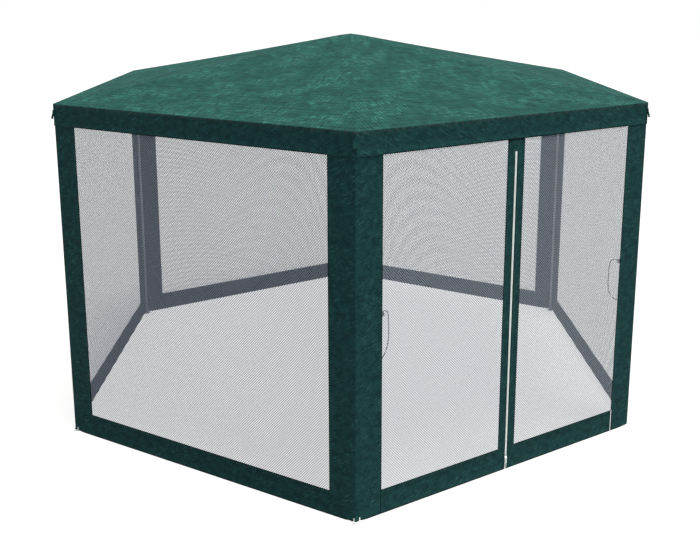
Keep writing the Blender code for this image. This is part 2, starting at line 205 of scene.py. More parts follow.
def crumpleGroup():
    # Long soft creases that run one way, and the blotches between them
    tree, inside, out = newGroup("crumple", (
        ("Vector", "NodeSocketVector", None), ("Angle", "NodeSocketFloat", 0.8),
        ("Length", "NodeSocketFloat", 0.1), ("Width", "NodeSocketFloat", 0.02),
    ), ("Streak", "Blotch"))
    turned = addNode(tree, "ShaderNodeVectorRotate", rotation_type="Z_AXIS")
    tree.links.new(inside.outputs["Vector"], turned.inputs["Vector"])
    tree.links.new(inside.outputs["Angle"], turned.inputs["Angle"])
    split = addNode(tree, "ShaderNodeSeparateXYZ")
    tree.links.new(turned.outputs[0], split.inputs[0])
    joined = addNode(tree, "ShaderNodeCombineXYZ")
    for axis, label in ((0, "Length"), (1, "Width")):
        part = maths(tree, "DIVIDE", split.outputs[axis], inside.outputs[label])
        tree.links.new(part, joined.inputs[axis])
    tree.links.new(scaledNoise(tree, joined.outputs[0], 1.0, 4, 0.62), out.inputs[0])
    broad = maths(tree, "DIVIDE", 1.0, inside.outputs["Length"])
    tree.links.new(scaledNoise(tree, inside.outputs["Vector"], broad, 3, 0.55), out.inputs[1])
    return tree


def stitchGroup():
    # A row of stitches at Inset from an edge: Edge is the distance to it
    tree, inside, out = newGroup("stitchRow", (
        ("Edge", "NodeSocketFloat", 0.0), ("Along", "NodeSocketFloat", 0.0),
        ("Inset", "NodeSocketFloat", 0.01), ("Pitch", "NodeSocketFloat", 0.006),
    ), ("Thread", "Groove"))
    away = maths(tree, "ABSOLUTE", maths(tree, "SUBTRACT", inside.outputs[0], inside.outputs[2]))
    line = ramp(tree, away, 0.0004, 0.0010, 1.0, 0.0)
    turns = maths(tree, "DIVIDE", inside.outputs[1], inside.outputs[3])
    dash = ramp(tree, maths(tree, "SINE", maths(tree, "MULTIPLY", turns, math.tau)), -0.7, -0.3)
    tree.links.new(maths(tree, "MULTIPLY", line, dash), out.inputs[0])
    tree.links.new(ramp(tree, away, 0.0005, 0.0030, 1.0, 0.0), out.inputs[1])
    return tree


def grainGroup():
    # Fine grain, and soft dirt that gathers low down
    tree, inside, out = newGroup("grainAndDust", (
        ("Vector", "NodeSocketVector", None), ("Scale", "NodeSocketFloat", 900.0),
        ("Reach", "NodeSocketFloat", 0.08),
    ), ("Grain", "Dust"))
    tree.links.new(
        scaledNoise(tree, inside.outputs[0], inside.outputs[1], 3, 0.6), out.inputs[0])
    split = addNode(tree, "ShaderNodeSeparateXYZ")
    tree.links.new(inside.outputs[0], split.inputs[0])
    low = ramp(tree, split.outputs[2], 0.0, inside.outputs[2], 1.0, 0.0)
    patch = ramp(tree, scaledNoise(tree, inside.outputs[0], 35.0, 4, 0.6), 0.38, 0.62)
    tree.links.new(maths(tree, "MULTIPLY", low, patch), out.inputs[1])
    return tree


effects = {
    "weave": weaveGroup(), "crumple": crumpleGroup(),
    "stitch": stitchGroup(), "grain": grainGroup(),
}


def effect(tree, name, **values):
    node = addNode(tree, "ShaderNodeGroup", node_tree=effects[name])
    for label, value in values.items():
        feed(tree, node.inputs[label], value)
    return node.outputs


def newMaterial(name, roughness, specular=0.5):
    made = bpy.data.materials.new(name)
    made.use_nodes = True
    skin = made.node_tree.nodes["Principled BSDF"]
    skin.inputs["Roughness"].default_value = roughness
    skin.inputs["Specular IOR Level"].default_value = specular
    return made, made.node_tree, skin


def bumpInto(tree, skin, height, distance, strength=1.0):
    bump = addNode(tree, "ShaderNodeBump")
    bump.inputs["Strength"].default_value = strength
    bump.inputs["Distance"].default_value = distance
    tree.links.new(height, bump.inputs["Height"])
    tree.links.new(bump.outputs[0], skin.inputs["Normal"])


def clothUv(tree):
    return addNode(tree, "ShaderNodeUVMap", uv_map="cloth").outputs[0]


def attribute(tree, name):
    return addNode(tree, "ShaderNodeAttribute", attribute_name=name).outputs["Fac"]


def objectPlace(tree):
    return addNode(tree, "ShaderNodeTexCoord").outputs["Object"]


def dusty(tree, grain, share, colour, dust):
    return tint(tree, maths(tree, "MULTIPLY", grain["Dust"], share), colour, dust)


# Woven sheeting: what the walls and the roof share, then their own values; the roof slopes' own
# tint and brighter crinkles are painted shade and highlight for the top light
sheetingLook = {
    "deep": (0.0055, 0.0270, 0.0300),
    "plain": (0.0095, 0.0420, 0.0425),
    # colour of the painted highlight on the crinkles
    "crinkleSheen": (0.0500, 0.1500, 0.1450),
    "thread": (0.014, 0.058, 0.054),
    # colour of the painted shade in the folded hems and the gaps beside them
    "fold": (0.0012, 0.0065, 0.0075),
    "rubbed": (0.040, 0.046, 0.040),  # where the cover rubs on the eave rail
    "roughness": 0.62,
    "sheen": 0.05,         # specular level of the coated cloth
    "yarn": 0.0026,
    "stitchInset": 0.0115,
    "stitchPitch": 0.0065,
    "foldWide": 0.0055,    # width of the painted shade along each folded edge
    "foldDark": 0.85,
    "blotch": (0.36, 0.62),
    "small": (0.5, 0.7),   # the second creases' length and width beside the first's
    "satin": (0.54, 0.70), # roughness from patch to patch
    "bump": 0.005,
}
wallLook = {
    "turns": (-0.5, 0.6),      # the ways that the creases run
    "length": 0.042,
    "width": 0.012,
    "streaks": (0.51, 0.74),
    "bright": 0.50,
    "patches": (7.0, 0.40, 0.60, 0.35),
    "shade": (0.93, 0.97, 1.04),
    "rib": (0.0080, 0.0080),   # spacing of the thick yarns, across and up
    "ribDepth": 0.16,
    "relief": 0.45,
}
# The roof slopes are the walls' cloth: their darker, greener tint (shade) is painted shade and
# their brighter crinkles (bright) painted highlight, for the strong top light
roofLook = {
    "turns": (-1.45, -1.00),
    "length": 0.060,
    "width": 0.0075,
    "streaks": (0.49, 0.70),
    "bright": 1.0,
    "patches": (4.5, 0.42, 0.60, 0.22),
    "shade": (0.63, 0.85, 0.77),
    "rib": (0.0200, 0.0850),
    "ribDepth": 0.34,
    "relief": 0.60,
}


def sheetingMaterial(name, own):
    look = sheetingLook
    made, tree, skin = newMaterial(name, look["roughness"], specular=look["sheen"])
    uv = clothUv(tree)
    edge = attribute(tree, "edge")
    length, width, streaks = own["length"], own["width"], own["streaks"]
    one = effect(tree, "crumple", Vector=uv, Angle=own["turns"][0], Length=length, Width=width)
    two = effect(tree, "crumple", Vector=uv, Angle=own["turns"][1],
                 Length=length * look["small"][0], Width=width * look["small"][1])
    rib = effect(tree, "weave", Vector=uv, Period=own["rib"][0], Rise=own["rib"][1])
    yarn = effect(tree, "weave", Vector=uv, Period=look["yarn"], Rise=look["yarn"])
    # Painted highlight: pale streaks and flecks along the crinkles, as strong as the look's
    # bright value
    streak = ramp(tree, one["Streak"], *streaks)
    small = ramp(tree, two["Streak"], streaks[0] + 0.02, streaks[1] + 0.02)
    pale = maths(tree, "MAXIMUM", streak, maths(tree, "MULTIPLY", small, 0.8))
    scale, low, high, least = own["patches"]
    patch = ramp(tree, scaledNoise(tree, uv, scale, 3, 0.6), low, high, least, 1.0)
    pale = maths(tree, "MULTIPLY", pale, patch)
    colour = tint(tree, ramp(tree, one["Blotch"], *look["blotch"]), look["deep"], look["plain"])
    colour = tint(tree, maths(tree, "MULTIPLY", pale, own["bright"]), colour, look["crinkleSheen"])
    depth = own["ribDepth"]
    thread = maths(tree, "MULTIPLY_ADD", rib["Height"], depth, 1 - depth * 0.4)
    thread = maths(tree, "MULTIPLY_ADD", yarn["Crossing"], 0.12, thread)
    # Weave of light and dark threads, times the look's tint (on the roof slopes, painted shade)
    threads = addNode(tree, "ShaderNodeCombineColor")
    for socket, part in zip(threads.inputs, own["shade"]):
        feed(tree, socket, maths(tree, "MULTIPLY", thread, part))
    colour = tint(tree, 1.0, colour, threads.outputs[0], "MULTIPLY")
    split = addNode(tree, "ShaderNodeSeparateXYZ")
    tree.links.new(uv, split.inputs[0])
    along = maths(tree, "ADD", split.outputs[0], split.outputs[1])
    row = effect(tree, "stitch", Edge=edge, Along=along,
                 Inset=look["stitchInset"], Pitch=look["stitchPitch"])
    colour = tint(tree, row["Thread"], colour, look["thread"])
    # Painted shade: the colour darkens within foldWide of every edge that the edge attribute
    # marks
    wide = look["foldWide"]
    fold = ramp(tree, edge, wide * 0.6, wide * 1.3, look["foldDark"], 0.0)
    colour = tint(tree, fold, colour, look["fold"])
    rub = ramp(tree, two["Blotch"], 0.42, 0.62, 0.0, 0.7)
    rub = maths(tree, "MULTIPLY", attribute(tree, "rub"), rub)
    colour = tint(tree, rub, colour, look["rubbed"])
    tree.links.new(colour, skin.inputs["Base Color"])
    feed(tree, skin.inputs["Roughness"], ramp(tree, one["Blotch"], 0.3, 0.7, *look["satin"]))
    height = maths(tree, "MULTIPLY_ADD", two["Streak"], 0.6, one["Streak"])
    height = maths(tree, "MULTIPLY_ADD", rib["Height"], 0.04, height)
    height = maths(tree, "MULTIPLY_ADD", row["Groove"], -0.12, height)
    height = maths(tree, "MULTIPLY_ADD", row["Thread"], 0.10, height)
    bumpInto(tree, skin, height, look["bump"], own["relief"])
    return made


netLook = {
    "outside": (0.225, 0.250, 0.322),
    # painted light: the inner face is far paler than the outer face of the same net, standing in
    # for light on it
    "inside": (0.90, 0.87, 1.00),
    "diamond": (0.0132, 0.0150),   # the knit's diamonds, across and up
    "hole": 0.0024,
    "open": 0.01,                  # how much a hole hides, and a thread
    "closed": 0.86,
}


def netMaterial():
    look = netLook
    made, tree, skin = newMaterial("mosquitoNet", 0.75, specular=0.10)
    uv = clothUv(tree)
    knit = effect(tree, "weave", Vector=uv, Period=look["diamond"][0], Rise=look["diamond"][1])
    fine = effect(tree, "weave", Vector=uv, Period=look["hole"], Rise=look["hole"])
    # The inner face takes the paler painted-light colour
    behind = addNode(tree, "ShaderNodeNewGeometry").outputs["Backfacing"]
    colour = tint(tree, behind, look["outside"], look["inside"])
    tree.links.new(colour, skin.inputs["Base Color"])
    alpha = ramp(tree, knit["Height"], 0.05, 0.98, look["open"], look["closed"])
    alpha = maths(tree, "MULTIPLY_ADD", fine["Crossing"], 0.10, alpha)
    tree.links.new(alpha, skin.inputs["Alpha"])
    bumpInto(tree, skin, knit["Height"], 0.0003, 0.5)
    return made


def plainWeave(name, colour, dark, period, roughness):
    # Tape and webbing: a fine weave over a plain colour
    made, tree, skin = newMaterial(name, roughness, specular=0.04)
    place = objectPlace(tree)
    turned = addNode(tree, "ShaderNodeVectorRotate", rotation_type="X_AXIS")
    tree.links.new(place, turned.inputs["Vector"])
    turned.inputs["Angle"].default_value = math.radians(90)
    weave = effect(tree, "weave", Vector=turned.outputs[0], Period=period, Rise=period)
    grain = effect(tree, "grain", Vector=place, Scale=700.0, Reach=0.03)
    shade = maths(tree, "MULTIPLY", ramp(tree, weave["Height"], -0.4, 0.9), 0.6)
    colour = tint(tree, shade, dark, colour)
    colour = dusty(tree, grain, 0.35, colour, (0.25, 0.22, 0.18))
    tree.links.new(colour, skin.inputs["Base Color"])
    height = maths(tree, "MULTIPLY_ADD", grain["Grain"], 0.3, weave["Height"])
    bumpInto(tree, skin, height, 0.0003, 0.6)
    return made


def paintedSteel():
    made, tree, skin = newMaterial("coatedSteel", 0.38)
    place = objectPlace(tree)
    grain = effect(tree, "grain", Vector=place, Scale=1400.0, Reach=0.15)
    cloud = scaledNoise(tree, place, 9.0, 3, 0.5)
    colour = tint(tree, cloud, (0.85, 0.93, 1.0), (0.91, 0.97, 1.0))
    spots = ramp(tree, scaledNoise(tree, place, 160.0, 2, 0.6), 0.70, 0.76)
    colour = tint(tree, maths(tree, "MULTIPLY", spots, 0.5), colour, (0.30, 0.32, 0.35))
    colour = dusty(tree, grain, 0.4, colour, (0.24, 0.21, 0.17))
    tree.links.new(colour, skin.inputs["Base Color"])
    feed(tree, skin.inputs["Roughness"], ramp(tree, grain["Grain"], 0.3, 0.7, 0.32, 0.48))
    bumpInto(tree, skin, grain["Grain"], 0.0002, 0.5)
    return made


def mouldedPlastic(name, light, shade, roughness):
    made, tree, skin = newMaterial(name, roughness)
    place = objectPlace(tree)
    grain = effect(tree, "grain", Vector=place, Scale=1800.0, Reach=0.012)
    colour = tint(tree, scaledNoise(tree, place, 40.0, 3, 0.6), shade, light)
    colour = dusty(tree, grain, 0.55, colour, (0.22, 0.20, 0.16))
    tree.links.new(colour, skin.inputs["Base Color"])
    feed(tree, skin.inputs["Roughness"],
         ramp(tree, grain["Grain"], 0.3, 0.7, roughness - 0.08, roughness + 0.1))
    bumpInto(tree, skin, grain["Grain"], 0.0002, 0.6)
    return made


materials = {
    "wallSheeting": sheetingMaterial("wallSheeting", wallLook),
    # the roof slopes' copy of the wall cloth, with painted shade and highlight
    "roofSheetingTopLit": sheetingMaterial("roofSheetingTopLit", roofLook),
    "net": netMaterial(),
    "zipTape": plainWeave("zipTape", (0.80, 0.86, 0.88), (0.62, 0.67, 0.69), 0.0011, 0.7),
    "elastic": plainWeave("elastic", (0.84, 0.86, 0.88), (0.60, 0.63, 0.66), 0.0013, 0.7),
    "webbing": plainWeave("webbing", (0.010, 0.054, 0.056), (0.004, 0.021, 0.022), 0.0016, 0.8),
    "braid": plainWeave("tieCordBraid", (0.10, 0.125, 0.18), (0.05, 0.07, 0.10), 0.0015, 0.75),
    "tieTape": plainWeave("tieTape", (0.23, 0.25, 0.31), (0.15, 0.17, 0.22), 0.0012, 0.75),
    "steel": paintedSteel(),
    "plastic": mouldedPlastic("palePlastic", (0.76, 0.80, 0.86), (0.62, 0.67, 0.75), 0.42),
    "zipPlastic": mouldedPlastic("zipNylon", (0.84, 0.89, 0.91), (0.74, 0.80, 0.82), 0.35),
}
print("screen house: materials are made")


# The tie-back cords, held at both ends on the side borders inside the door
tieBack = {
    "tab": (0.022, 0.024, 0.0012),       # across, tall, thick
    "tabAt": (0.004, 0.0035, 1.105),
    "tabTilt": 0.2,                      # radians
    "diameter": 0.0045,
    "length": 0.345,
    "route": (  # across from the border's edge, inwards, up
        (-0.005, 0.0003, 1.105),
        (-0.005, 0.009, 1.105),
        (0.010, 0.022, 1.111),
        (0.038, 0.027, 1.110),
        (0.052, 0.0275, 1.092),
        (0.0565, 0.0275, 1.035),
        (0.0565, 0.0275, 0.965),
        (0.049, 0.027, 0.920),
        (0.033, 0.024, 0.885),
        (0.011, 0.016, 0.865),
        (-0.005, 0.009, 0.859),
        (-0.005, 0.0003, 0.859),
    ),
}


def clear():
    bpy.ops.object.select_all(action="DESELECT")


def choose(thing):
    clear()
    thing.select_set(True)
    bpy.context.view_layer.objects.active = thing


def linked(name, data):
    thing = bpy.data.objects.new(name, data)
    bpy.context.scene.collection.objects.link(thing)
    return thing


def applied(thing, kind, **settings):
    # A modifier with these settings, made part of the mesh
    modifier = thing.modifiers.new(kind.lower(), kind)
    for name, value in settings.items():
        setattr(modifier, name, value)
    choose(thing)
    bpy.ops.object.modifier_apply(modifier=modifier.name)


def softBlock(name, measures, rounding, segments):
    # A block with its edges taken off, at the origin
    clear()
    bpy.ops.mesh.primitive_cube_add(size=1)
    block = bpy.context.active_object
    block.name = name
    block.scale = measures
    bpy.ops.object.transform_apply(location=False, rotation=False, scale=True)
    bpy.ops.object.mode_set(mode="EDIT")
    bpy.ops.mesh.select_all(action="SELECT")
    bpy.ops.mesh.bevel(offset=rounding, segments=segments)
    bpy.ops.object.mode_set(mode="OBJECT")
    return block


def throughPoints(points, step):
    # A smooth line through the points, read about every step
    ends = [2 * points[0] - points[1], *points, 2 * points[-1] - points[-2]]
    line = [points[0]]
    for a, b, c, d in zip(ends, ends[1:], ends[2:], ends[3:]):
        count = max(1, round((c - b).length / step))
        for k in range(1, count + 1):
            t = k / count
            line.append(0.5 * (2 * b + (c - a) * t + (2 * a - 5 * b + 4 * c - d) * t ** 2
                               + (3 * b - a - 3 * c + d) * t ** 3))
    return line


def makeTieBack(side):
    route = [doorPlace @ Vector((side * (windowHalf - across), inwards, z))
             for across, inwards, z in tieBack["route"]]
    line = throughPoints(route, tieBack["diameter"] * 1.5)
    curve = bpy.data.curves.new("tieBack" + sideName[side], "CURVE")
    curve.dimensions = "3D"
    curve.bevel_depth = tieBack["diameter"] / 2
    curve.bevel_resolution = 3
    curve.use_fill_caps = True
    spline = curve.splines.new("POLY")
    spline.points.add(len(line) - 1)
    for point, at in zip(spline.points, line):
        point.co = (*at, 1)
    cord = linked("tieBack" + sideName[side], curve)
    curve.materials.append(materials["braid"])
    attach(cord, root)
    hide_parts("tie_back_" + cadSide[side])
    length = sum((b - a).length for a, b in zip(line, line[1:]))
    print(f"screen house: tie-back {length:.3f} m long")
    tuple(line[0])


def makeTieTab(side):
    # The scrap of tape that sews the cord's upper end down
    wide, tall, thick = tieBack["tab"]
    tab = softBlock("tieTab" + sideName[side], (wide, thick, tall), thick * 0.35, 2)
    across, inwards, z = tieBack["tabAt"]
    at = Vector((side * (windowHalf - across), inwards, z))
    tilt = Matrix.Rotation(side * tieBack["tabTilt"], 4, "Y")
    tab.data.transform(doorPlace @ Matrix.Translation(at) @ tilt)
    tab.data.materials.append(materials["tieTape"])
    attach(tab, root)


for side in (-1, 1):
    makeTieBack(side)
    makeTieTab(side)


# Cloth: sheets drawn on a wall's own axes
cloth = {
    "thick": 0.0008,
    "cell": 0.030,          # mesh spacing
    "foldWide": 0.016,      # folded hem along every edge
    "foldProud": 0.0005,
    "wallTop": 2.034,       # below the rounded eave
    "floorDrop": 0.0045,    # the hem hangs this much lower between the feet
    "ripple": 0.0005,
    "footGap": (0.030, 0.040),  # the drop starts this far from a corner, and is full after
    "dropReach": 0.020,
    "netCell": 0.045,
    "netTuck": 0.004,       # sewn in behind the border's edge
    "netBack": 0.0009,
    "netBelly": 0.004,      # how far a net stands inwards in its middle
    "netWaver": 0.0015,
}


def steps(low, high, cell, marks=()):
    # Places from low to high at most a cell apart that include the marks
    stops = sorted({low, high, *(m for m in marks if low < m < high)})
    places = []
    for a, b in zip(stops, stops[1:]):
        count = max(1, math.ceil((b - a) / cell - 1e-6))
        places += [a + (b - a) * k / count for k in range(count)]
    return places + [high]


def foldMarks(*edges):
    # Mesh lines that follow the folded hem beside each edge, on both sides
    marks = []
    for at in edges:
        for away in (0.0, 0.0022, 0.0045, cloth["foldWide"], cloth["foldWide"] + 0.002):
            marks += [at - away, at + away]
    return marks


def sheetObject(name, place, points, faces, uvs, edges, material):
    # One layer of cloth. Each point is (x, y, z) on the wall's axes
    mesh = bpy.data.meshes.new(name)
    mesh.from_pydata([place @ Vector(p) for p in points], [], faces)
    layer = mesh.uv_layers.new(name="cloth")
    for loop in mesh.loops:
        layer.data[loop.index].uv = uvs[loop.vertex_index]
    mark = mesh.attributes.new("edge", "FLOAT", "POINT")
    mark.data.foreach_set("value", edges)
    mesh.materials.append(material)
    return linked(name, mesh)


def turnCorner(x, depth):
    # Past the straight part, the cloth goes round the post
    past = abs(x) - cornerTurn["from"]
    if past <= 0:
        return x, depth
    turn = past / cornerTurn["radius"]
    reach = cornerTurn["radius"] - depth - size["clothDepth"]
    out = size["clothDepth"] - cornerTurn["radius"] + reach * math.cos(turn)
    return math.copysign(cornerTurn["from"] + reach * math.sin(turn), x), -out


def hangLow(x, z):
    # Between the feet the hem reaches down to the ground
    begin, full = cloth["footGap"]
    near = min(1.0, max(0.0, (wallHalf - abs(x) - begin) / full))
    below = max(0.0, 1 - (z - size["hemFoot"]) / cloth["dropReach"])
    return z - cloth["floorDrop"] * below * near * near * (3 - 2 * near)


def onSide(side, xs):
    # The right side's places, mirrored for the left
    return xs if side > 0 else [-x for x in reversed(xs)]


def pastEdges(dx, dz):
    # Distance from a window's edge, counted round its corners
    return math.hypot(dx, dz) if dx > 0 and dz > 0 else max(dx, dz)


def flatSheet(name, place, xs, zs, depthAt, material,
              keep=lambda x, z: True, edgeAt=lambda x, z: 1.0):
    # keep says where there is cloth, edgeAt how far that is from its edge
    index, points, uvs, edges, faces = {}, [], [], [], []

    def vertex(x, z):
        key = (round(x, 6), round(z, 6))
        if key not in index:
            index[key] = len(points)
            across, depth = turnCorner(x, depthAt(x, z))
            points.append((across, depth, hangLow(x, z)))
            uvs.append((x, z))
            edges.append(edgeAt(x, z))
        return index[key]

    for x0, x1 in zip(xs, xs[1:]):
        for z0, z1 in zip(zs, zs[1:]):
            if keep((x0 + x1) / 2, (z0 + z1) / 2):
                faces.append((vertex(x0, z0), vertex(x1, z0), vertex(x1, z1), vertex(x0, z1)))
    return sheetObject(name, place, points, faces, uvs, edges, material)


def cutAlong(thing, place, side, reach, count):
    # Mesh lines along the crease, so that the cloth folds there cleanly
    top = Vector((0, 0, size["creaseTop"]))
    foot = Vector((side * size["creaseFoot"], 0, size["hemFoot"]))
    along = (foot - top).normalized()
    across = Vector((-along.z, 0, along.x)) * -side   # towards the flap
    bm = bmesh.new()
    bm.from_mesh(thing.data)
    for k in range(-count, count + 1):
        spot = top + across * reach * k / count
        bmesh.ops.bisect_plane(
            bm, geom=bm.verts[:] + bm.edges[:] + bm.faces[:], dist=1e-5,
            plane_co=place @ spot, plane_no=place.to_3x3() @ across)
    bm.to_mesh(thing.data)
    bm.free()
    return place @ (top - across * reach), place @ (top + across * reach)


def shadeSoft(thing):
    thing.data.shade_smooth()
    thing.data.set_sharp_from_angle(angle=math.radians(50))


def thicken(thing, thickness):
    applied(thing, "SOLIDIFY", thickness=thickness, offset=-1, use_even_offset=True)
    shadeSoft(thing)


def cornerMarks():
    count = cornerTurn["steps"]
    start = cornerTurn["from"]
    turns = [start + (wallHalf - start) * k / count for k in range(count)]
    return turns + [-turn for turn in turns]


def soften(x, z, spread, seed):
    return noise.noise(Vector((x / spread, z / spread, seed)))


def foldDepth(distance):
    # How far the folded hem stands out at this distance from the edge
    if distance < 0.0001:
        return cloth["foldProud"] * 0.2
    return cloth["foldProud"] if distance <= cloth["foldWide"] + 1e-6 else 0.0


def borderDepth(index):
    def depth(x, z, edge):
        base = -size["clothDepth"] + 0.0001
        wave = cloth["ripple"] * soften(x, z, 0.16, index * 7.3)
        return base - foldDepth(edge) + 0.6 * wave
    return depth


def makeWallBorder(index):
    name = wallNames[index]
    low, high = size["hemTop"], size["windowTop"]
    xs = steps(-wallHalf, wallHalf, cloth["cell"],
               foldMarks(-windowHalf, windowHalf) + cornerMarks())
    zs = steps(size["hemFoot"], cloth["wallTop"], cloth["cell"],
               foldMarks(size["hemFoot"], low, high))
    depthOf = borderDepth(index)

    # Distance from a window's edge or the hem's foot: it places the stitches and the painted edge
    # shade
    def edgeAt(x, z):
        inner = pastEdges(abs(x) - windowHalf, max(low - z, z - high))
        return max(0.0, min(z - size["hemFoot"], inner))

    border = flatSheet(
        "wallBorder_" + name, wallPlace(index), xs, zs,
        lambda x, z: depthOf(x, z, edgeAt(x, z)), materials["wallSheeting"],
        lambda x, z: abs(x) > windowHalf or z < low or z > high, edgeAt)
    thicken(border, cloth["thick"])
    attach(border, root)
    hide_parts("wall_border_" + name)


def netDepth(left, right, low, high, seed):
    def depth(x, z):
        middle = math.sin(math.pi * (x - left) / (right - left))
        middle *= math.sin(math.pi * (z - low) / (high - low))
        waver = cloth["netWaver"] * middle * soften(x, z, 0.22, seed)
        return -cloth["netBack"] + cloth["netBelly"] * middle + waver
    return depth


def makeWallNet(index):
    name = wallNames[index]
    tuck, cell = cloth["netTuck"], cloth["netCell"]
    inset = windowHalf + tuck
    low, high = size["hemTop"] - tuck, size["windowTop"] + tuck
    net = flatSheet(
        "wallNet_" + name, wallPlace(index), steps(-inset, inset, cell),
        steps(low, high, cell), netDepth(-inset, inset, low, high, index + 0.5),
        materials["net"])
    net.data.shade_smooth()
    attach(net, root)
    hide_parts("wall_net_" + name)


for index, name in enumerate(wallNames):
    if name != "front_right":
        makeWallBorder(index)
        makeWallNet(index)
print("screen house: five walls are hung")


door = {
    "slit": {-1: 0.001, 1: 0.006},   # from the opening's edge to the side border
    "tuck": {-1: 0.008, 1: 0.0015},  # how far a hem's end goes past the opening
    "tuckBack": 0.0012,              # and how far behind the side border it lies
    "clothFrom": 0.0072,             # the strip's edge beside the zip
    "foldReach": 0.010,              # half of the cloth's turn at a crease
    "foldLines": 4,
    "headLow": 1.856,                # lower end of the cloth above the zip
}


def makeDoorBorder():
    low, high = size["hemTop"], size["windowTop"]
    ends = {side: windowHalf + door["slit"][side] for side in (-1, 1)}
    tongue = size["zipHalf"] - 0.0002
    xs = steps(-wallHalf, wallHalf, cloth["cell"], foldMarks(-windowHalf, windowHalf)
               + cornerMarks() + [-ends[-1], ends[1], -tongue, tongue, 0.0])
    zs = steps(size["hemFoot"], cloth["wallTop"], cloth["cell"],
               foldMarks(size["hemFoot"], high) + [low, door["headLow"], door["headLow"] + 0.002])

    def keep(x, z):
        side = 1 if x > 0 else -1
        inner = windowHalf if z > low else ends[side]
        return z > high or abs(x) > inner or (abs(x) < tongue and z > door["headLow"])

    # On the strip there is no painted edge shade; elsewhere the distance places stitches and
    # painted shade
    def edgeAt(x, z):
        side = 1 if x > 0 else -1
        if abs(x) <= size["stripHalf"]:
            return 0.02
        inner = windowHalf if z >= low else ends[side]
        near = pastEdges(abs(x) - inner, z - high)
        return max(0.0, min(z - size["hemFoot"], near))

    depthOf = borderDepth(0)
    border = flatSheet(
        "doorBorder", doorPlace, xs, zs, lambda x, z: depthOf(x, z, edgeAt(x, z)),
        materials["wallSheeting"], keep, edgeAt)
    thicken(border, cloth["thick"])
    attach(border, root)
    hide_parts("door_border")


def makeLeafCloth(side):
    # The hem and half of the strip, in one piece, cut along the crease where the flap folds
    foot, low, high = size["hemFoot"], size["hemTop"], size["windowTop"]
    near, strip = door["clothFrom"], size["stripHalf"]
    out = windowHalf + door["tuck"][side]
    xs = steps(near, out, cloth["cell"], foldMarks(near, strip, out))
    zs = steps(foot, high, cloth["cell"], foldMarks(foot, low))

    # Distance to the strip's edges and its top: beside the zip and just under the roof's hem it
    # lays painted shadow
    def edgeAt(x, z):
        x = abs(x)
        if z > size["zipTop"] + 0.004:
            return max(0.0, min(strip - x, high - z))
        if z > low:
            return max(0.0, min(x - near, strip - x, high - z))
        inner = math.hypot(x - strip, low - z) if x < strip else low - z
        return max(0.0, min(x - near, out - x, z - foot, inner))

    depthOf = borderDepth(0)

    def depth(x, z):
        tucked = min(1.0, max(0.0, (abs(x) - windowHalf + 0.001) / 0.001))
        return depthOf(x, z, edgeAt(x, z)) + door["tuckBack"] * tucked

    sheet = flatSheet(
        "leafCloth" + sideName[side], doorPlace, onSide(side, xs), zs, depth,
        materials["wallSheeting"], lambda x, z: z < low or abs(x) < strip, edgeAt)
    start, end = cutAlong(sheet, doorPlace, side, door["foldReach"], door["foldLines"])
    thicken(sheet, cloth["thick"])
    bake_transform(sheet)
    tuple(start)
    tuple(end)
    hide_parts("door_hem_" + cadSide[side], "flap_edge_" + cadSide[side])


def makeLeafNet(side):
    tuck, cell = cloth["netTuck"], cloth["netCell"]
    low, high = size["hemTop"] - tuck, size["windowTop"] + tuck
    xs = onSide(side, steps(size["stripHalf"] - tuck, windowHalf + tuck, cell))
    net = flatSheet(
        "leafNet" + sideName[side], doorPlace, xs, steps(low, high, cell),
        netDepth(xs[0], xs[-1], low, high, side * 3.1), materials["net"])
    start, end = cutAlong(net, doorPlace, side, door["foldReach"], door["foldLines"])
    net.data.shade_smooth()
    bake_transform(net)
    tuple(start)
    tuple(end)
    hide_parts("door_net_" + cadSide[side], "flap_net_" + cadSide[side])


makeDoorBorder()
for side in (-1, 1):
    makeLeafCloth(side)
    makeLeafNet(side)
print("screen house: the door is hung")


zipper = {
    "front": -0.0023,       # outer face of the teeth, on the wall's y axis
    "tapeThick": 0.0007,
    "inner": 0.0013,        # the tape's edge beside the coil's middle
    "outer": 0.0110,        # its other edge, behind the cloth
    "pitch": 0.003,
    "tooth": (0.0042, 0.0016, 0.0025),  # across, deep, along
    "toothIn": 0.0009,      # where the teeth begin beside the middle
    "sliderTop": 0.0925,
    "spread": 0.0026,       # how far each half leans out at the lower end
    "tapeBack": 0.0019,     # how far the tape lies behind the teeth's face
    "guard": (-0.0105, 0.0065, 0.0032),  # its left and right edge, and how far back
}


def zipSpread(z):
    below = max(0.0, zipper["sliderTop"] - z)
    return zipper["spread"] * below / (zipper["sliderTop"] - size["hemFoot"])


def makeTape(side):
    xs = onSide(side, steps(zipper["inner"], zipper["outer"], 0.004))
    zs = steps(size["hemFoot"] + 0.0005, size["zipTop"], 0.05, (zipper["sliderTop"],))
    tape = flatSheet(
        "zipTape" + sideName[side], doorPlace, xs, zs,
        lambda x, z: zipper["front"] + zipper["tapeBack"], materials["zipTape"])
    leanOut(tape, side)
    thicken(tape, zipper["tapeThick"])
    return tape


def leanOut(thing, side):
    back = doorPlace.inverted()
    for vertex in thing.data.vertices:
        spot = back @ vertex.co
        spot.x += side * zipSpread(spot.z)
        vertex.co = doorPlace @ spot


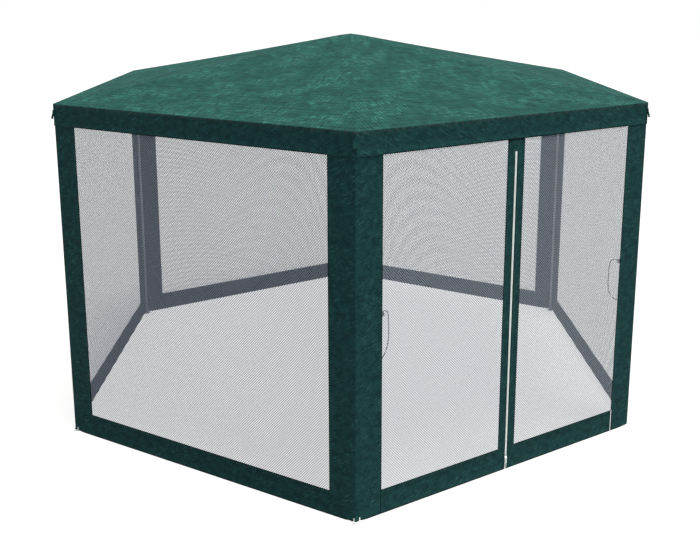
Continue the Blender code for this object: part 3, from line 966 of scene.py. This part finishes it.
def makeTeeth(side):
    across, deep = zipper["tooth"][:2]
    start = size["hemFoot"] + 0.004 + (zipper["pitch"] / 2 if side > 0 else 0)
    centre = Vector((side * (zipper["toothIn"] + across / 2), zipper["front"] - 0.0001, start))
    teeth = softBlock("zipTeeth" + sideName[side], zipper["tooth"], deep * 0.28, 1)
    applied(teeth, "ARRAY", use_relative_offset=False, use_constant_offset=True,
            constant_offset_displace=(0, 0, zipper["pitch"]),
            count=int((size["zipTop"] - start - 0.004) / zipper["pitch"]))
    teeth.data.transform(doorPlace @ Matrix.Translation(centre))
    teeth.matrix_world = Matrix.Identity(4)
    teeth.data.materials.append(materials["zipPlastic"])
    leanOut(teeth, side)
    return teeth


def makeGuard():
    # The strip behind the zip's lower end, sewn to the left half
    left, right, behind = zipper["guard"]
    guard = flatSheet(
        "zipGuard", doorPlace, steps(left, right, 0.004),
        steps(size["hemFoot"] + 0.001, zipper["sliderTop"] + 0.012, 0.02),
        lambda x, z: zipper["front"] + behind, materials["wallSheeting"])
    thicken(guard, zipper["tapeThick"])
    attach(guard, leaf[-1])


makeGuard()
for side in (-1, 1):
    tape, teeth = makeTape(side), makeTeeth(side)
    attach(tape, leaf[side])
    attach(teeth, leaf[side])
    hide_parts("zip_half_" + cadSide[side])
print("screen house: the zip is sewn in")


roof = {
    "thick": 0.0009,
    "rows": 46,
    "columns": 40,
    "eaveRadius": 0.005,
    "hipSag": 0.0055,        # the cover rests on the rafters in the middle
    "panelSag": 0.0075,
    "apexSoft": 0.0030,
    "crinkle": 0.0016,
    "seamWide": 0.008,
    "seamProud": 0.0008,
    "hemWide": 0.018,
    "cornerIn": 0.0022,      # how far a corner's edge is rounded off
    "roundFrom": 0.012,      # and how far from the corner that begins
    "leanIn": 0.0021,        # the hanging edge lies against the wall
    "rubAt": 0.0050,         # the rubbed line's place below the eave, and its half width
    "rubHalf": 0.0045,
}


def roofPanelShares():
    # Where the columns of one panel lie, closer together beside the hips
    near = [0.0, 0.0018, 0.0040, 0.0058, 0.0120]
    columns = roof["columns"]
    middle = [near[-1] + (1 - 2 * near[-1]) * k / columns for k in range(1, columns)]
    return near + middle + [1 - n for n in reversed(near[1:])]


def roofRows():
    # (distance out at a panel's middle, height, is it on the slope), from the top down
    slope = (size["apex"] - size["eave"]) / coverOut
    radius = roof["eaveRadius"]
    turn = math.pi / 2 - math.atan(slope)
    inset = radius * math.tan(turn / 2)
    rows = []
    last = coverOut - inset * math.cos(math.atan(slope))
    for k in range(1, roof["rows"] + 1):
        a = last * k / roof["rows"]
        rows.append((a, size["apex"] - slope * a, True))
    middleA, middleZ = coverOut - radius, size["eave"] - inset
    for k in range(1, 6):
        at = math.pi / 2 - math.atan(slope) - turn * k / 5
        rows.append((middleA + radius * math.cos(at), middleZ + radius * math.sin(at), False))
    foot = size["windowTop"]
    hem = foot + roof["hemWide"]
    for z in reversed(steps(foot, middleZ - 0.001, 0.02,
                            (foot + 0.0022, foot + 0.0045, hem, hem + 0.002))):
        rows.append((coverOut, z, False))
    return rows


def makeRoof():
    rows = roofRows()
    shares = roofPanelShares()
    slopeLast = max(a for a, z, sloping in rows if sloping)
    points, edges, rubs, loopUvs, faces, finish = [], [], [], [], [], []
    lines = []
    for a, z, sloping in rows:
        line = []
        for panel in range(6):
            corner = onCircle(a / cosWall, 60 * panel - 90)
            nextCorner = onCircle(a / cosWall, 60 * panel - 30)
            normal = onCircle(1.0, 60 * panel - 60)
            wide = (nextCorner - corner).length
            t = min(1.0, a / slopeLast)
            for share in shares[:-1]:
                spot = corner.lerp(nextCorner, share)
                beside = min(share, 1 - share) * wide
                if sloping:
                    sag = roof["hipSag"] * math.sin(math.pi * t) ** 1.2
                    sag += roof["panelSag"] * math.sin(math.pi * t) * math.sin(math.pi * share)
                    sag += roof["apexSoft"] * max(0.0, 1 - a / 0.07) ** 2
                    fade = min(1.0, (1 - t) * 8 + 0.25) * min(1.0, beside / 0.05)
                    sag -= roof["crinkle"] * fade * noise.noise(spot * 9.0)
                    sag -= roof["crinkle"] * 0.5 * fade * noise.noise(spot * 23.0)
                    if beside < roof["seamWide"] and a > 0.05:
                        sag -= roof["seamProud"]
                    spot.z = z - sag
                else:
                    spot.z = z
                    out = 0.0
                    if z < size["windowTop"] + roof["hemWide"] + 0.0005:
                        out += 0.0005 if z > size["windowTop"] + 0.0001 else 0.0001
                    if z < size["eave"] - 0.03:
                        out += 0.0006 * soften(60 * panel + share * wide, z, 0.14, 4.0)
                    rounding = max(0.0, 1 - beside / roof["roundFrom"])
                    hang = (size["eave"] - z) / (size["eave"] - size["windowTop"])
                    out -= roof["leanIn"] * hang * (1 - 0.5 * rounding)
                    spot += normal * out
                    nearest = 60 * panel - (90 if share < 0.5 else 30)
                    spot -= onCircle(1.0, nearest) * (roof["cornerIn"] * rounding ** 2)
                line.append(len(points))
                points.append(spot)
                # Edge: distance above the hem's foot, for stitches and a painted shade line along
                # it; over the posts it is lifted so no painted line shows
                overPost = min(1.0, max(0.0, (size["sideBorder"] - beside) / 0.03))
                edges.append(min(0.03, max(0.0, z - size["windowTop"]) + 0.007 * overPost))
                away = abs(z - size["eave"] + roof["rubAt"]) / roof["rubHalf"]
                rubs.append(max(0.0, 1 - away) if a > slopeLast - 0.03 else 0.0)
        lines.append(line)
    tip = len(points)
    points.append(Vector((0, 0, size["apex"] - roof["apexSoft"])))
    edges.append(0.03)
    rubs.append(0.0)
    count = len(shares) - 1
    travel = [0.0]
    for (a0, z0, _), (a1, z1, _) in zip(rows, rows[1:]):
        travel.append(travel[-1] + math.hypot(a1 - a0, z1 - z0))

    def uvOf(row, panel, column):
        across = (shares[column] - 0.5) * (rows[row][0] / cosWall)
        return ((across if panel % 2 else -across) + 3.1 * panel, -travel[row])

    for row in range(len(rows) - 1):
        for panel in range(6):
            for column in range(count):
                at = panel * count + column
                after = (at + 1) % (6 * count)
                faces.append((lines[row][at], lines[row + 1][at],
                              lines[row + 1][after], lines[row][after]))
                finish.append(0 if rows[row][2] else 1)
                loopUvs += [uvOf(row, panel, column), uvOf(row + 1, panel, column),
                            uvOf(row + 1, panel, column + 1), uvOf(row, panel, column + 1)]
    for panel in range(6):
        for column in range(count):
            at = panel * count + column
            faces.append((tip, lines[0][at], lines[0][(at + 1) % (6 * count)]))
            finish.append(0)
            loopUvs += [(3.1 * panel, 0.04), uvOf(0, panel, column), uvOf(0, panel, column + 1)]
    mesh = bpy.data.meshes.new("roofCover")
    mesh.from_pydata(points, [], faces)
    layer = mesh.uv_layers.new(name="cloth")
    for item, uv in zip(layer.data, loopUvs):
        item.uv = uv
    for label, values in (("edge", edges), ("rub", rubs)):
        mesh.attributes.new(label, "FLOAT", "POINT").data.foreach_set("value", values)
    # Sloping faces take the roof slopes' copy with its painted shade and highlight; the hanging
    # edge takes the walls' cloth
    mesh.materials.append(materials["roofSheetingTopLit"])
    mesh.materials.append(materials["wallSheeting"])
    mesh.polygons.foreach_set("material_index", finish)
    cover = linked("roofCover", mesh)
    thicken(cover, roof["thick"])
    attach(cover, root)
    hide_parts("roof_cover")


makeRoof()
print("screen house: the roof cover is on")


def ribbon(name, path, widths, thickness, material):
    # A flat strap: each point of the path has its own direction across
    points = [at + across * share for at, across in zip(path, widths)
              for share in (-1 / 2, -1 / 6, 1 / 6, 1 / 2)]
    faces = [(k, k + 1, k + 5, k + 4) for k in range(len(points) - 4) if k % 4 < 3]
    mesh = bpy.data.meshes.new(name)
    mesh.from_pydata(points, [], faces)
    strap = linked(name, mesh)
    mesh.materials.append(material)
    applied(strap, "SOLIDIFY", thickness=thickness, offset=0)
    applied(strap, "BEVEL", width=thickness * 0.3, segments=2,
            limit_method="ANGLE", angle_limit=math.radians(60))
    bm = bmesh.new()
    bm.from_mesh(strap.data)
    bmesh.ops.recalc_face_normals(bm, faces=bm.faces)
    bm.to_mesh(strap.data)
    bm.free()
    shadeSoft(strap)
    return strap


# Loops of webbing at the roof's corners
cornerLoop = {
    "wide": 0.026,
    "thick": 0.0013,
    "top": 2.014,
    "path": (  # out from the corner's edge, down from the top
        (0.0008, 0.000), (0.0011, 0.009), (0.0032, 0.021), (0.0078, 0.035),
        (0.0104, 0.0450), (0.0098, 0.0505), (0.0068, 0.0500), (0.0044, 0.041),
        (0.0020, 0.025), (0.0003, 0.014),
    ),
}


def makeCornerLoop(index, name):
    angle = 60 * index - 90
    out = onCircle(1.0, angle)
    across = onCircle(cornerLoop["wide"], angle + 90)
    edge = coverOut / cosWall - roof["cornerIn"] + 0.0003
    route = [out * (edge + away) + Vector((0, 0, cornerLoop["top"] - down))
             for away, down in cornerLoop["path"]]
    line = throughPoints(route, 0.003)
    strap = ribbon("cornerLoop_" + name, line, [across] * len(line),
                   cornerLoop["thick"], materials["webbing"])
    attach(strap, root)


# Loops of elastic at the feet
footLoop = {
    "wide": 0.0065,
    "thick": 0.0009,
    "fromCorner": {-1: 0.009, 1: 0.024},
    "path": (  # out from the wall's face, height
        (0.0006, 0.025), (0.0009, 0.019), (0.0010, 0.012), (0.0020, 0.0075),
        (0.0040, 0.0056), (0.0060, 0.0050),
    ),
    "rim": 0.0268,           # the loop lies round the foot's rim
    "rimFrom": -24,          # degrees from straight out
    "rimTo": 60,
    "rimStep": 4,
}


def makeFootLoop(index, name):
    pieces = []
    for side in (-1, 1):
        wall = wallPlace((index - 1 if side < 0 else index) % 6)
        edge = (wallHalf - footLoop["fromCorner"][side]) * (1 if side < 0 else -1)
        across = wall.to_3x3() @ Vector((footLoop["wide"], 0, 0))
        route = [wall @ Vector((edge, -size["clothDepth"] - away, z))
                 for away, z in footLoop["path"]]
        line = throughPoints(route, 0.0025)
        pieces.append(ribbon(f"footLoop_{name}_{side}", line, [across] * len(line),
                             footLoop["thick"], materials["elastic"]))
    angle = 60 * index - 90
    middle = onCircle(postRadius, angle)
    turns = range(angle + footLoop["rimFrom"], angle + footLoop["rimTo"] + 1, footLoop["rimStep"])
    line = [middle + onCircle(footLoop["rim"], turn, 0.0036) for turn in turns]
    pieces.append(ribbon(f"footLoop_{name}_rim", line, [Vector((0, 0, 0.0050))] * len(line),
                         footLoop["thick"], materials["elastic"]))
    choose(pieces[0])
    for piece in pieces:
        piece.select_set(True)
    bpy.ops.object.join()
    pieces[0].name = "footLoop_" + name
    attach(pieces[0], root)


for index, name in enumerate(cornerNames):
    makeCornerLoop(index, name)
    if name != "front_right":        # its loop is tucked away
        makeFootLoop(index, name)
print("screen house: loops are sewn on")


# The CAD pieces that stay get their finish
finishes = (
    (("post_", "eave_rail_", "rafter_"), "steel"),
    (("foot_", "corner_connector_", "apex_hub"), "plastic"),
    (("zip_slider", "zip_pull"), "zipPlastic"),
)
for name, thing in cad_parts.items():
    for starts, finish in finishes:
        if name.startswith(starts):
            for slot in thing.material_slots:
                slot.material = materials[finish]


studio = {
    "sky": 0.45,            # what lights the object
    "backdrop": 1.0,        # what is seen behind it
    "sun": 9.1,
    "sunFrom": (0.19, -0.11, 0.975),
    "sunColour": (1.0, 0.99, 0.84),
    "skyColour": (0.90, 0.97, 1.08),
    "sunSoft": 24,          # degrees
    "floorBounce": 0.25,
    "floorShade": 0.10,
    "floorGlow": 0.88,
}


def addFloor():
    clear()
    bpy.ops.mesh.primitive_plane_add(size=80, location=(0, 0, 0))
    floor = bpy.context.active_object
    floor.name = "floor"
    made = bpy.data.materials.new("paleFloor")
    made.use_nodes = True
    tree = made.node_tree
    tree.nodes.clear()
    bounce, shade = addNode(tree, "ShaderNodeBsdfDiffuse"), addNode(tree, "ShaderNodeBsdfDiffuse")
    for node, grey in ((bounce, studio["floorBounce"]), (shade, studio["floorShade"])):
        node.inputs[0].default_value = (grey, grey, grey, 1)
    glow = addNode(tree, "ShaderNodeEmission")
    glow.inputs[1].default_value = studio["floorGlow"]
    seen = addNode(tree, "ShaderNodeAddShader")
    tree.links.new(shade.outputs[0], seen.inputs[0])
    tree.links.new(glow.outputs[0], seen.inputs[1])
    mix = addNode(tree, "ShaderNodeMixShader")
    tree.links.new(addNode(tree, "ShaderNodeLightPath").outputs["Is Camera Ray"], mix.inputs[0])
    tree.links.new(bounce.outputs[0], mix.inputs[1])
    tree.links.new(seen.outputs[0], mix.inputs[2])
    tree.links.new(mix.outputs[0], addNode(tree, "ShaderNodeOutputMaterial").inputs[0])
    floor.data.materials.append(made)


def addLight():
    lamp = bpy.data.lights.new("softOverhead", "SUN")
    lamp.energy = studio["sun"]
    lamp.angle = math.radians(studio["sunSoft"])
    lamp.color = studio["sunColour"]
    sun = bpy.data.objects.new("softOverhead", lamp)
    bpy.context.scene.collection.objects.link(sun)
    sun.rotation_euler = Vector(studio["sunFrom"]).to_track_quat("Z", "Y").to_euler()
    world = bpy.data.worlds.new("studio")
    bpy.context.scene.world = world
    world.use_nodes = True
    tree = world.node_tree
    sky = tree.nodes["Background"]
    seen = addNode(tree, "ShaderNodeLightPath").outputs["Is Camera Ray"]
    tree.links.new(tint(tree, seen, studio["skyColour"], (1.0, 1.0, 1.0)), sky.inputs[0])
    gap = studio["backdrop"] - studio["sky"]
    strength = maths(tree, "MULTIPLY_ADD", seen, gap, studio["sky"])
    tree.links.new(strength, sky.inputs[1])


addFloor()
addLight()
bpy.context.scene.view_settings.view_transform = "Standard"
print("screen house: the studio is lit")
